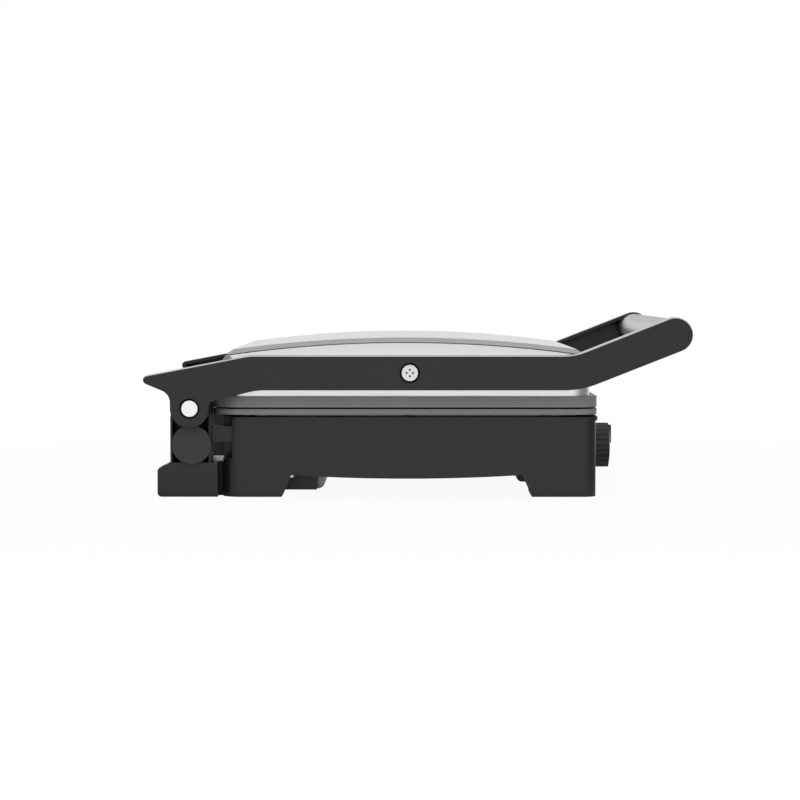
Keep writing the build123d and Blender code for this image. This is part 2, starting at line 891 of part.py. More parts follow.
# Terminal block on the bottom cover and a thermal fuse under each pan
block_front = base_rear - base_wall - gland_inside - terminal_block_width - 8.0
with BuildPart() as terminal_block:
    add(
        block(
            (gland_x - terminal_block_length / 2, block_front, cover_top),
            (gland_x + terminal_block_length / 2, block_front + terminal_block_width, cover_top + terminal_block_height),
        )
    )
    with BuildSketch(Plane.XY.offset(cover_top + terminal_block_height)):
        with Locations((gland_x, block_front + terminal_block_width / 2)):
            with GridLocations(terminal_block_length / 3, terminal_block_width / 2, 3, 2):
                Circle(2.0)
    extrude(amount=-terminal_block_height / 3, mode=Mode.SUBTRACT)
save(terminal_block, "terminal_block")

with BuildPart() as lower_thermal_fuse:
    with BuildSketch(side_plane(1, 2 * terminal_spacing)):
        with Locations((terminal_y, pan_bottom - fuse_radius)):
            Circle(fuse_radius)
            with Locations((0, fuse_radius / 2)):
                Rectangle(2 * fuse_radius, fuse_radius)
    extrude(amount=fuse_length)
save(lower_thermal_fuse, "lower_thermal_fuse")

with BuildPart() as upper_thermal_fuse:
    with BuildSketch(side_plane(1, 2 * terminal_spacing)):
        with Locations((terminal_y, pan_top + fuse_radius)):
            Circle(fuse_radius)
            with Locations((0, -fuse_radius / 2)):
                Rectangle(2 * fuse_radius, fuse_radius)
    extrude(amount=fuse_length)
save(upper_thermal_fuse, "upper_thermal_fuse")


# Hinge brackets: an upright with a round head, a foot on the worktop side and a tab into the base
foot_front_y = hinge_y - bracket_foot_front
foot_rear_y = hinge_y + bracket_foot_rear
upright_front = hinge_y - bracket_head_radius
upright_rear = hinge_y + bracket_rear_half
shoulder_z = hinge_z - bracket_pocket_top
tab_screw_x = (slot_inner + slot_outer) / 2
tab_screw_y = tab_end + tab_reach / 2

for side, side_name in sides:
    with BuildPart() as hinge_bracket:
        with BuildSketch(side_plane(side, bracket_inner)):
            with BuildLine():
                Polyline(
                    (upright_front, hinge_z),
                    (upright_front, bracket_foot_height),
                    (foot_front_y, bracket_foot_height),
                    (foot_front_y, bracket_bottom),
                    (foot_rear_y, bracket_bottom),
                    (foot_rear_y, bracket_foot_rear_height),
                    (upright_rear, bracket_foot_height),
                    (upright_rear, shoulder_z),
                    (hinge_y + bracket_head_radius, hinge_z),
                    close=True,
                )
            make_face()
            with Locations((hinge_y, hinge_z)):
                Circle(bracket_head_radius)
        extrude(amount=side * bracket_width)
        fillet(
            hinge_bracket.edges().filter_by(Axis.X).group_by(Axis.Y)[-1],
            3.0,
        )
        # Two pockets in the outer face, with a column between them
        with BuildSketch(side_plane(side, base_half_width)):
            pocket_bottom = bracket_foot_height
            pocket_top = shoulder_z
            with BuildLine():
                front_wall = upright_front + bracket_wall
                front_column = hinge_y - bracket_column / 2
                Polyline(
                    (front_wall, pocket_bottom),
                    (front_wall, pocket_top),
                    (front_column, pocket_top),
                    (front_column, pocket_bottom),
                    close=True,
                )
            make_face()
            with BuildLine():
                rear_wall = upright_rear - bracket_wall
                rear_column = hinge_y + bracket_column / 2
                Polyline(
                    (rear_wall, pocket_bottom),
                    (rear_wall, pocket_top),
                    (rear_column, pocket_top),
                    (rear_column, pocket_bottom),
                    close=True,
                )
            make_face()
        extrude(amount=-side * bracket_pocket_depth, mode=Mode.SUBTRACT)
        with BuildSketch(side_plane(side, base_half_width)):
            with Locations((hinge_y, cap_level)):
                Circle(cap_radius - 3.0)
        extrude(amount=-side * (cap_stem_length + 2.0))
        add(side_block(side, slot_inner, slot_outer, tab_end, upright_front, tab_bottom, tab_top))
        # Flange at the inner edge of the foot, seated against the rear wall of the base
        add(side_block(
            side, bracket_inner, bracket_inner + bracket_flange_width,
            base_rear + seat_clearance, foot_front_y, bracket_bottom, bracket_foot_height,
        ))
        with BuildSketch(side_plane(side, bracket_inner)):
            with Locations((hinge_y, hinge_z)):
                Circle(shank_bore)
        extrude(amount=side * bracket_width, mode=Mode.SUBTRACT)
        with BuildSketch(side_plane(side, base_half_width)):
            with Locations((hinge_y, cap_level)):
                Circle(cap_stem_radius + running_clearance)
        extrude(amount=-side * cap_stem_length, mode=Mode.SUBTRACT)
        with BuildSketch(Plane.XY.offset(tab_bottom)):
            with Locations((side * tab_screw_x, tab_screw_y)):
                Circle(tab_screw_radius + seat_clearance)
        extrude(amount=tab_height, mode=Mode.SUBTRACT)
    save(hinge_bracket, f"hinge_bracket_{side_name}")

    with BuildPart() as hinge_cap:
        with BuildSketch(side_plane(side, base_half_width)):
            with Locations((hinge_y, cap_level)):
                Circle(cap_radius)
        extrude(amount=side * cap_thickness)
        fillet(hinge_cap.faces().sort_by(Axis.X)[-1 if side > 0 else 0].edges(), cap_thickness / 3)
        with BuildSketch(side_plane(side, base_half_width)):
            with Locations((hinge_y, cap_level)):
                Circle(cap_stem_radius)
        extrude(amount=-side * (cap_stem_length - seat_clearance))
    save(hinge_cap, f"hinge_cap_{side_name}")

with BuildPart() as bracket_screws:
    tab_screw_places = [(side * tab_screw_x, tab_screw_y) for side, side_name in sides]
    with BuildSketch(Plane.XY.offset(tab_top)):
        with Locations(tab_screw_places):
            Circle(tab_screw_head_radius)
    extrude(amount=1.6)
    with BuildSketch(Plane.XY.offset(tab_top)):
        with Locations(tab_screw_places):
            Circle(tab_screw_radius)
    extrude(amount=-(tab_height + tab_shelf_height + 2.0))
save(bracket_screws, "bracket_screws")


# Side arms: a bar that rises to the handle at the front and drops to the hinge at the rear
front_slope = radians(arm_front_slope)
tail_slope = radians(arm_tail_slope)
under_slope = radians(arm_tail_under_slope)
drop_slope = radians(arm_drop_slope)
bend_y = handle_y + (handle_z - pivot_z) / tan(front_slope)
tail_y = hinge_y + tail_reach
tail_z = hinge_z + tail_rise


def arm_form(inset):
    """Side outline of an arm, or the same outline moved inward all round."""
    half = arm_height / 2 - inset
    boss = hinge_boss_radius - inset
    tip = tail_radius - inset
    top = pivot_z + half
    underside = pivot_z - half
    bend_shift = half * tan(front_slope / 2)
    end_dy = half * sin(front_slope)
    end_dz = half * cos(front_slope)
    tip_top = (tail_y + tip * sin(tail_slope), tail_z + tip * cos(tail_slope))
    tip_low = (tail_y + tip * sin(under_slope), tail_z - tip * cos(under_slope))
    rear_knee = (tip_top[0] - (top - tip_top[1]) / tan(tail_slope), top)
    tail_root = (hinge_y + boss, tip_low[1] - tan(under_slope) * (tip_low[0] - hinge_y - boss))
    drop_start = (hinge_y - arm_drop_start - inset * tan(drop_slope / 2), underside)
    drop_root = (hinge_y - boss, underside - tan(drop_slope) * (hinge_y - boss - drop_start[0]))
    top_bend = (bend_y + bend_shift, top)
    under_bend = (bend_y - bend_shift, underside)
    with BuildSketch() as outline:
        with BuildLine():
            Polyline(
                top_bend,
                rear_knee,
                tip_top,
                (tail_y, tail_z),
                tip_low,
                tail_root,
                (hinge_y + boss, hinge_z),
                (hinge_y - boss, hinge_z),
                drop_root,
                drop_start,
                under_bend,
                (handle_y - end_dy, handle_z - end_dz),
                (handle_y + end_dy, handle_z + end_dz),
                close=True,
            )
        make_face()
        for corner, corner_radius in (
            (top_bend, bend_inner_radius + inset),
            (under_bend, bend_inner_radius + arm_height - inset),
            (rear_knee, bend_inner_radius - inset),
            (drop_start, bend_inner_radius + inset),
            (drop_root, drop_root_radius + inset),
            (tail_root, tail_root_radius + inset),
        ):
            fillet(outline.vertices().sort_by_distance(corner)[0], corner_radius)
        with Locations((handle_y, handle_z)):
            Circle(half)
        with Locations((hinge_y, hinge_z)):
            Circle(boss)
        with Locations((tail_y, tail_z)):
            Circle(tip)
    return outline.sketch


arm_outline = arm_form(0)
with BuildSketch() as arm_pocket:
    add(arm_form(arm_rim))
    with Locations((handle_y, handle_z), (pivot_y, pivot_z)):
        Circle(arm_height / 2, mode=Mode.SUBTRACT)
    with Locations((hinge_y, hinge_z)):
        Circle(hinge_boss_radius, mode=Mode.SUBTRACT)
    with Locations((pivot_y, pivot_z)):
        with GridLocations(arm_rib_pitch, 1, 2 * floor((pivot_y - bend_y) / arm_rib_pitch) + 1, 1):
            Rectangle(arm_rib_thickness, 2 * arm_height, mode=Mode.SUBTRACT)

for side, side_name in sides:
    with BuildPart() as arm:
        with BuildSketch(side_plane(side, arm_inner)):
            add(arm_outline)
        extrude(amount=side * arm_thickness)
        outer_face = arm.faces().sort_by(Axis.X)[-1 if side > 0 else 0]
        fillet(outer_face.edges(), arm_edge_radius)
        with BuildSketch(side_plane(side, arm_inner)):
            add(arm_pocket.sketch)
        extrude(amount=side * arm_pocket_depth, mode=Mode.SUBTRACT)
        with BuildSketch(side_plane(side, arm_outer)):
            with Locations((hinge_y, hinge_z), (pivot_y, pivot_z)):
                Circle(pin_recess_radius)
        extrude(amount=-side * pin_recess_depth, mode=Mode.SUBTRACT)
        with BuildSketch(side_plane(side, arm_outer)):
            with Locations((hinge_y, hinge_z), (pivot_y, pivot_z)):
                Circle(shank_bore)
        extrude(amount=-side * arm_thickness, mode=Mode.SUBTRACT)
        # Spigot that fits into the handle tube, with a blind hole for the tie rod
        with BuildSketch(side_plane(side, arm_inner)):
            with Locations((handle_y, handle_z)):
                Circle(handle_radius - handle_wall - running_clearance)
        extrude(amount=-side * spigot_length)
        with BuildSketch(side_plane(side, arm_inner - spigot_length)):
            with Locations((handle_y, handle_z)):
                Circle(tie_rod_radius + running_clearance)
        extrude(amount=side * (spigot_length + tie_rod_insert), mode=Mode.SUBTRACT)
    save(arm, f"arm_{side_name}")

    with BuildPart() as hinge_pin:
        with BuildSketch(side_plane(side, arm_outer - pin_recess_depth)):
            with Locations((hinge_y, hinge_z)):
                Circle(pin_head_radius)
        extrude(amount=side * pin_head_height)
        fillet(hinge_pin.faces().sort_by(Axis.X)[-1 if side > 0 else 0].edges(), pin_head_height / 4)
        with BuildSketch(side_plane(side, arm_outer - pin_recess_depth)):
            with Locations((hinge_y, hinge_z)):
                Circle(pin_shank_radius)
        extrude(amount=-side * (arm_outer - pin_recess_depth - bracket_inner + 3 * ring_thickness))
    save(hinge_pin, f"hinge_pin_{side_name}")

    with BuildPart() as pivot_pin:
        with BuildSketch(side_plane(side, arm_outer - pin_recess_depth)):
            with Locations((pivot_y, pivot_z)):
                Circle(pin_head_radius)
        extrude(amount=side * pin_head_height)
        fillet(pivot_pin.faces().sort_by(Axis.X)[-1 if side > 0 else 0].edges(), pin_head_height / 4)
        with BuildSketch(side_plane(side, arm_outer - pin_recess_depth)):
            with Locations((pivot_y, pivot_z)):
                Circle(pin_shank_radius)
        extrude(amount=-side * (arm_outer - pin_recess_depth - lid_half_width + lid_wall
                                + pivot_plate_thickness + 3 * ring_thickness))
        with BuildSketch(side_plane(side, arm_outer - pin_recess_depth + pin_head_height)):
            with Locations((pivot_y, pivot_z)):
                with PolarLocations(pin_hole_circle, 4, 45):
                    Circle(pin_hole_radius)
        extrude(amount=-side * pin_head_height, mode=Mode.SUBTRACT)
    save(pivot_pin, f"pivot_pin_{side_name}")

# Handle tube between the arms, with the tie rod inside it
with BuildPart() as handle_bar:
    with BuildSketch(side_plane(-1, arm_inner)):
        with Locations((handle_y, handle_z)):
            Circle(handle_radius)
            Circle(handle_radius - handle_wall, mode=Mode.SUBTRACT)
    extrude(amount=2 * arm_inner)
save(handle_bar, "handle_bar")

with BuildPart() as handle_tie_rod:
    with BuildSketch(side_plane(-1, arm_inner + tie_rod_insert - seat_clearance)):
        with Locations((handle_y, handle_z)):
            Circle(tie_rod_radius)
    extrude(amount=2 * (arm_inner + tie_rod_insert - seat_clearance))
save(handle_tie_rod, "handle_tie_rod")

# Washers between arms and brackets, and retaining rings on the inner ends of the four pins
pivot_inner = lid_half_width - lid_wall - pivot_plate_thickness
with BuildPart() as hinge_washers:
    for side, side_name in sides:
        with BuildSketch(side_plane(side, arm_inner)):
            with Locations((hinge_y, hinge_z)):
                Circle(washer_radius)
                Circle(shank_bore, mode=Mode.SUBTRACT)
        extrude(amount=-side * (arm_gap - passing_gap))
save(hinge_washers, "hinge_washers")

with BuildPart() as retaining_rings:
    for side, side_name in sides:
        with BuildSketch(side_plane(side, bracket_inner - passing_gap)):
            with Locations((hinge_y, hinge_z)):
                Circle(ring_radius)
                Circle(shank_bore, mode=Mode.SUBTRACT)
        extrude(amount=-side * ring_thickness)
        with BuildSketch(side_plane(side, pivot_inner - passing_gap)):
            with Locations((pivot_y, pivot_z)):
                Circle(ring_radius)
                Circle(shank_bore, mode=Mode.SUBTRACT)
        extrude(amount=-side * ring_thickness)
save(retaining_rings, "retaining_rings")


# Lid shell: a section with crowned top, bevel, groove and shoulder, swung along the lid's long arc
def lid_form(inset, bottom):
    """Outer form of the lid, or the same form moved inward on every face."""
    half = lid_half_width - inset
    rim = lid_arc_radius - inset
    bevel_foot = half - bevel_setback
    low = rim - lid_height - lid_roll_radius
    start = radians(lid_arc_half_angle)
    centre = (0, lid_middle, lid_crest - lid_arc_radius)
    with BuildPart() as form:
        with BuildSketch(Plane(origin=centre, x_dir=(1, 0, 0), z_dir=(0, -cos(start), -sin(start)))):
            with BuildLine():
                panel_edge = (bevel_foot - bevel_width, rim)
                bevel_end = (bevel_foot, rim - bevel_drop)
                groove_bottom = (bevel_foot - groove_depth, rim - bevel_drop - groove_width / 2)
                groove_end = (bevel_foot + groove_depth / 2, rim - bevel_drop - groove_width)
                shoulder_end = (half, rim - bevel_drop - groove_width - shoulder_height)
                ThreePointArc((0, rim + lid_crown), (panel_edge[0] / 2, rim + 0.75 * lid_crown), panel_edge)
                Polyline(panel_edge, bevel_end, groove_bottom, groove_end)
                TangentArc(shoulder_end, groove_end, tangent=(0, 1), tangent_from_first=True)
                Polyline(shoulder_end, (half, low), (0, low), (0, rim + lid_crown))
            make_face()
            mirror(about=Plane.YZ)
        revolve(axis=Axis(centre, (-1, 0, 0)), revolution_arc=2 * lid_arc_half_angle)
        extrude(lid_plan(bottom, inset), amount=2 * lid_height, mode=Mode.INTERSECT)
        end_drop = (lid_middle - lid_front) ** 2 / (2 * lid_arc_radius)
        with BuildSketch(side_plane(-1, lid_half_width)) as roll:
            with BuildLine():
                crest = lid_crest + lid_crown - inset
                front = lid_front + inset
                rear = lid_rear - inset
                front_top = (front, crest - end_drop)
                rear_top = (rear, crest - end_drop)
                ThreePointArc(front_top, (lid_middle, crest), rear_top)
                Polyline(rear_top, (rear, bottom), (front, bottom), front_top)
            make_face()
            fillet(roll.vertices().group_by(Axis.Y)[-1], lid_roll_radius - inset)
        extrude(amount=2 * lid_half_width, mode=Mode.INTERSECT)
    return form.part


lid_outer = lid_form(0, upper_rim_top)
lid_cavity = lid_form(lid_wall, upper_rim_top - lid_wall)
with BuildPart() as lid_posts:
    with BuildSketch(Plane.XY.offset(frame_level + sheet_thickness)):
        with Locations(lid_post_places):
            Circle(lid_post_radius)
    extrude(amount=2 * lid_height)
    add(lid_form(lid_wall / 2, upper_rim_top), mode=Mode.INTERSECT)

with BuildPart() as lid_shell:
    add(lid_outer)
    add(lid_cavity, mode=Mode.SUBTRACT)
    add(lid_posts.part)
    with BuildSketch(Plane.XY.offset(frame_level)):
        with Locations(lid_post_places):
            Circle(lid_screw_radius + running_clearance)
    extrude(amount=lid_screw_length + 1.0, mode=Mode.SUBTRACT)
    for side, side_name in sides:
        with BuildSketch(side_plane(side, lid_half_width - 2 * lid_wall)):
            with Locations((pivot_y, pivot_z)):
                Circle(pivot_collar_radius + seat_clearance)
        extrude(amount=side * 4 * lid_wall, mode=Mode.SUBTRACT)
save(lid_shell, "lid_shell")

with BuildPart() as lid_screws:
    with BuildSketch(Plane.XY.offset(frame_level - lid_screw_head_height)):
        with Locations(lid_post_places):
            Circle(lid_screw_head_radius)
    extrude(amount=lid_screw_head_height)
    with BuildSketch(Plane.XY.offset(frame_level)):
        with Locations(lid_post_places):
            Circle(lid_screw_radius)
    extrude(amount=lid_screw_length)
save(lid_screws, "lid_screws")

# Pivot brackets inside the lid, with a collar through the shell for the pin
for side, side_name in sides:
    with BuildPart() as pivot_bracket:
        with BuildSketch(side_plane(side, pivot_inner)):
            with BuildLine():
                Polyline(
                    (pivot_y - pivot_plate_half_length, frame_level + 2 * sheet_thickness),
                    (pivot_y + pivot_plate_half_length, frame_level + 2 * sheet_thickness),
                    (pivot_y + pivot_collar_radius + 3.0, pivot_z + pivot_collar_radius),
                    (pivot_y - pivot_collar_radius - 3.0, pivot_z + pivot_collar_radius),
                    close=True,
                )
            make_face()
        extrude(amount=side * pivot_plate_thickness)
        with BuildSketch(side_plane(side, pivot_inner)):
            with Locations((pivot_y, pivot_z)):
                Circle(pivot_collar_radius)
        extrude(amount=side * (arm_inner - passing_gap - pivot_inner))
        with BuildSketch(side_plane(side, pivot_inner)):
            with Locations((pivot_y, pivot_z)):
                Circle(shank_bore)
        extrude(amount=side * (arm_inner - pivot_inner), mode=Mode.SUBTRACT)
    save(pivot_bracket, f"pivot_bracket_{side_name}")
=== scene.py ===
import json
import math

import bmesh
import bpy
from mathutils import Matrix, Vector


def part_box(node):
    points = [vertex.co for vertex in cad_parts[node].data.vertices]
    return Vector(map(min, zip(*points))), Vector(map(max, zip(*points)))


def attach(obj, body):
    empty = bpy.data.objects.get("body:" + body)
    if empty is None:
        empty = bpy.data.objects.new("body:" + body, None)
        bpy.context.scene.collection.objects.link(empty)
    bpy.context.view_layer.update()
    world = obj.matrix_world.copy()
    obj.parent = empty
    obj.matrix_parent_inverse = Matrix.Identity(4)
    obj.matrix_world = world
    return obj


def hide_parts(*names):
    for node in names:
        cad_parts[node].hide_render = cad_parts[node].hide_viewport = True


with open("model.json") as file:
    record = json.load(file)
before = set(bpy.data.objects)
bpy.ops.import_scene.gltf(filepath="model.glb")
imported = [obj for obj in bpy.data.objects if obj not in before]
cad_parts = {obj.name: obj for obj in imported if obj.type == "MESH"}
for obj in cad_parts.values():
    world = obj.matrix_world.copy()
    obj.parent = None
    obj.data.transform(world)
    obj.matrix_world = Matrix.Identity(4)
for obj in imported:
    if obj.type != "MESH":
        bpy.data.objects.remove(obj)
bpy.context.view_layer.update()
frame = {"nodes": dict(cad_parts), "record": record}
nodes = frame["nodes"]
scene = bpy.context.scene
scene.view_settings.view_transform = "Standard"

MM = 0.001

# The camera stands well off the left side, a little above the lid, and looks slightly down.
# Its places are in metres and its pitch is in degrees
CAMERA_DISTANCE = 1.795
CAMERA_HEIGHT = 0.1518
CAMERA_ALONG = 0.0125
CAMERA_PITCH = 2.6
CAMERA_REACH = 20.0
FOCAL_PIXELS = 2564
FRAME_PIXELS = 800
SENSOR = 36.0


# Nodes that several materials, the floor and the world share
def place(tree, stretch=(1.0, 1.0, 1.0)):
    """Coordinates fixed to the object, stretched along its axes."""
    source = tree.nodes.new("ShaderNodeTexCoord")
    mapping = tree.nodes.new("ShaderNodeMapping")
    mapping.inputs["Scale"].default_value = stretch
    tree.links.new(source.outputs["Object"], mapping.inputs["Vector"])
    return mapping.outputs["Vector"]


def along(tree, vector, axis):
    """One coordinate of a vector."""
    node = tree.nodes.new("ShaderNodeSeparateXYZ")
    tree.links.new(vector, node.inputs["Vector"])
    return node.outputs[axis]


def maths(tree, operation, *values):
    """Result of an operation on one or two values."""
    node = tree.nodes.new("ShaderNodeMath")
    node.operation = operation
    for value, socket in zip(values, node.inputs):
        tree.links.new(value, socket)
    return node.outputs["Value"]


def vector_maths(tree, operation, output, *vectors):
    """One output of an operation on one or two vectors."""
    node = tree.nodes.new("ShaderNodeVectorMath")
    node.operation = operation
    for vector, socket in zip(vectors, node.inputs):
        tree.links.new(vector, socket)
    return node.outputs[output]


def noise(tree, vector, scale, detail=3.0):
    """Grey noise from 0 to 1."""
    node = tree.nodes.new("ShaderNodeTexNoise")
    node.inputs["Scale"].default_value = scale
    node.inputs["Detail"].default_value = detail
    tree.links.new(vector, node.inputs["Vector"])
    return node.outputs["Fac"]


def spread(tree, value, low, high, start=0.3, end=0.7):
    """Grey value from low to high as the input goes from start to end."""
    node = tree.nodes.new("ShaderNodeMapRange")
    node.inputs["From Min"].default_value = start
    node.inputs["From Max"].default_value = end
    node.inputs["To Min"].default_value = low
    node.inputs["To Max"].default_value = high
    tree.links.new(value, node.inputs["Value"])
    return node.outputs["Result"]


def blend_colours(tree, factor, first, second):
    """Colour between two, each of them a fixed colour or the colour of a socket."""
    node = tree.nodes.new("ShaderNodeMix")
    node.data_type = "RGBA"
    tree.links.new(factor, node.inputs["Factor"])
    for socket, value in ((node.inputs["A"], first), (node.inputs["B"], second)):
        if isinstance(value, bpy.types.NodeSocket):
            tree.links.new(value, socket)
        else:
            socket.default_value = (*value, 1.0)
    return node.outputs["Result"]


def dimmed(tree, colour, factor):
    """Colour multiplied by a grey factor."""
    node = tree.nodes.new("ShaderNodeMix")
    node.data_type = "RGBA"
    node.blend_type = "MULTIPLY"
    node.inputs["Factor"].default_value = 1.0
    tree.links.new(colour, node.inputs["A"])
    tree.links.new(factor, node.inputs["B"])
    return node.outputs["Result"]


# What the shape of a surface adds to its material: rounded edges, painted shade in gaps and small relief
BEVEL_SAMPLES = 4
SHARP_EDGE = 0.86
FLAT_FACE = 0.995
GAP_SAMPLES = 6
CLOSED_GAP = 0.15
OPEN_FACE = 0.75


def edge_mask(tree, radius):
    """1 along sharp edges and 0 on flat faces, and the normal that rounds those edges."""
    rounded = tree.nodes.new("ShaderNodeBevel")
    rounded.samples = BEVEL_SAMPLES
    rounded.inputs["Radius"].default_value = radius
    flat = tree.nodes.new("ShaderNodeNewGeometry")
    turned = vector_maths(tree, "DOT_PRODUCT", "Value", rounded.outputs["Normal"], flat.outputs["Normal"])
    return spread(tree, turned, 1.0, 0.0, SHARP_EDGE, FLAT_FACE), rounded.outputs["Normal"]


def painted_gap_shade(tree, reach, floor):
    """Painted shade: 1 in the open, down to a floor value in gaps and recesses narrower than the reach."""
    node = tree.nodes.new("ShaderNodeAmbientOcclusion")
    node.samples = GAP_SAMPLES
    node.inputs["Distance"].default_value = reach
    return spread(tree, node.outputs["AO"], floor, 1.0, CLOSED_GAP, OPEN_FACE)


def bump(tree, height, distance, strength, normal):
    """Small relief on the surface."""
    node = tree.nodes.new("ShaderNodeBump")
    node.inputs["Distance"].default_value = distance
    node.inputs["Strength"].default_value = strength
    tree.links.new(height, node.inputs["Height"])
    tree.links.new(normal, node.inputs["Normal"])
    return node.outputs["Normal"]


# Materials
def fresh(name):
    """New material with its node tree and its shader."""
    material = bpy.data.materials.new(name)
    material.use_nodes = True
    tree = material.node_tree
    return material, tree, tree.nodes["Principled BSDF"]


def scaled(colour, share):
    """Colour with each channel multiplied by a share."""
    return [share * channel for channel in colour]


def uneven(tree, value, roughness, swing):
    """Roughness that swings a little below and above a middle value."""
    return spread(tree, value, roughness - swing[0], roughness + swing[1])


CLOUDED = 0.9
MOULD_CLOUD_SCALE = 18.0
MOULD_GRAIN = 1500.0
MOULD_GRAIN_HEIGHT = 0.04 * MM
MOULD_RELIEF = 0.2
MOULD_EDGE = 0.7 * MM
MOULD_GLOSS = 0.4
MOULD_SHADE_REACH = 9.0 * MM
MOULD_SHADE_LEVEL = 0.06
MOULD_GAP_DULLNESS = 0.5
MOULD_GAP_DULL_RANGE = (0.1, 0.9)
MOULD_SWING = (0.04, 0.05)


def moulded_nodes(name, colour, worn, roughness, grain, edge, gloss):
    """Moulded plastic as its material, tree and shader, and the sockets of its colour and roughness."""
    material, tree, shader = fresh(name)
    vector = place(tree)
    cloud = noise(tree, vector, MOULD_CLOUD_SCALE)
    fine = noise(tree, vector, grain, detail=2.0)
    edges, rounded = edge_mask(tree, edge)
    # Painted shade: the colour is darkened in gaps and recesses, where light falls less
    gap_shade_factor = painted_gap_shade(tree, MOULD_SHADE_REACH, MOULD_SHADE_LEVEL)
    body = blend_colours(tree, spread(tree, cloud, 0.0, 1.0), colour, scaled(colour, CLOUDED))
    rubbed = blend_colours(tree, edges, body, worn)
    colour_out = dimmed(tree, rubbed, gap_shade_factor)
    dull = spread(tree, gap_shade_factor, MOULD_GAP_DULLNESS, 0.0, *MOULD_GAP_DULL_RANGE)
    rough = maths(tree, "ADD", uneven(tree, fine, roughness, MOULD_SWING), dull)
    tree.links.new(colour_out, shader.inputs["Base Color"])
    tree.links.new(rough, shader.inputs["Roughness"])
    tree.links.new(bump(tree, fine, MOULD_GRAIN_HEIGHT, MOULD_RELIEF, rounded), shader.inputs["Normal"])
    shader.inputs["Specular IOR Level"].default_value = gloss
    return material, tree, shader, colour_out, rough


def moulded(name, colour, worn, roughness, grain=MOULD_GRAIN, edge=MOULD_EDGE, gloss=MOULD_GLOSS):
    """Moulded plastic: fine grain, slightly uneven colour and gloss, paler rubbed edges, painted shade in
    gaps.
    """
    return moulded_nodes(name, colour, worn, roughness, grain, edge, gloss)[0]


LEVEL_ENOUGH = 0.12
FULLY_LEVEL = 0.3
HIGHLIGHT_SOFTNESS = 0.1 * MM
POLISHED_ROUGHNESS = 0.14


def painted_edge_highlight(name, colour, worn, roughness, bright, outer_x, band):
    """Moulded plastic with glossy upper faces and a painted highlight: a pale metallic stripe on them along
    their outer edge, standing in for the grazing reflection there.
    """
    material, tree, shader, colour_out, rough = moulded_nodes(
        name, colour, worn, roughness, MOULD_GRAIN, MOULD_EDGE, MOULD_GLOSS
    )
    surface = tree.nodes.new("ShaderNodeNewGeometry")
    rise = along(tree, surface.outputs["True Normal"], "Z")
    upward = spread(tree, rise, 0.0, 1.0, LEVEL_ENOUGH, FULLY_LEVEL)
    aside = maths(tree, "ABSOLUTE", along(tree, place(tree), "X"))
    outside = spread(tree, aside, 0.0, 1.0, outer_x - band - HIGHLIGHT_SOFTNESS, outer_x - band)
    # Painted highlight: pale metallic colour on upward faces near the outer edge
    highlight_mask = maths(tree, "MULTIPLY", upward, outside)
    smooth = tree.nodes.new("ShaderNodeMix")
    smooth.inputs["B"].default_value = POLISHED_ROUGHNESS
    tree.links.new(upward, smooth.inputs["Factor"])
    tree.links.new(rough, smooth.inputs["A"])
    tree.links.new(blend_colours(tree, highlight_mask, colour_out, bright), shader.inputs["Base Color"])
    tree.links.new(smooth.outputs["Result"], shader.inputs["Roughness"])
    tree.links.new(highlight_mask, shader.inputs["Metallic"])
    return material


METAL_PATCH_SCALE = 9.0
METAL_LINE_SHARE = 0.3
METAL_PATCH_SHARE = 0.2
METAL_LINE_HEIGHT = 0.01 * MM
METAL_RELIEF = 0.03
METAL_EDGE = 0.3 * MM
METAL_SHADE_REACH = 2.5 * MM
METAL_SWING = (0.03, 0.05)


def metal(name, colour, dark, roughness, stretch, scale=700.0, shade=0.6):
    """Metal with fine lines along one direction, patches of dullness, softened edges and painted shade in
    gaps.
    """
    material, tree, shader = fresh(name)
    lines = noise(tree, place(tree, stretch), scale, detail=4.0)
    patches = noise(tree, place(tree), METAL_PATCH_SCALE)
    rounded = edge_mask(tree, METAL_EDGE)[1]
    body = blend_colours(tree, spread(tree, lines, 0.0, METAL_LINE_SHARE), colour, dark)
    patched = blend_colours(tree, spread(tree, patches, 0.0, METAL_PATCH_SHARE), body, dark)
    # Painted shade: the colour is darkened in gaps and holes, down to one minus the shade argument
    colour_out = dimmed(tree, patched, painted_gap_shade(tree, METAL_SHADE_REACH, 1.0 - shade))
    tree.links.new(colour_out, shader.inputs["Base Color"])
    tree.links.new(uneven(tree, lines, roughness, METAL_SWING), shader.inputs["Roughness"])
    tree.links.new(bump(tree, lines, METAL_LINE_HEIGHT, METAL_RELIEF, rounded), shader.inputs["Normal"])
    shader.inputs["Metallic"].default_value = 1.0
    return material


COATING_SPECK_SCALE = 2600.0
COATING_SPECK_SHARE = 0.5
COATING_SPECK_RANGE = (0.62, 0.72)
COATING_PEEL_SCALE = 420.0
COATING_CLOUD_SCALE = 14.0
COATING_PEEL_HEIGHT = 0.05 * MM
COATING_RELIEF = 0.2
COATING_EDGE = 0.5 * MM
COATING_RUBBED = 1.2
COATING_SHADE_REACH = 5.0 * MM
COATING_SHADE_LEVEL = 0.35
COATING_GLOSS = 0.55
COATING_SWING = (0.05, 0.07)


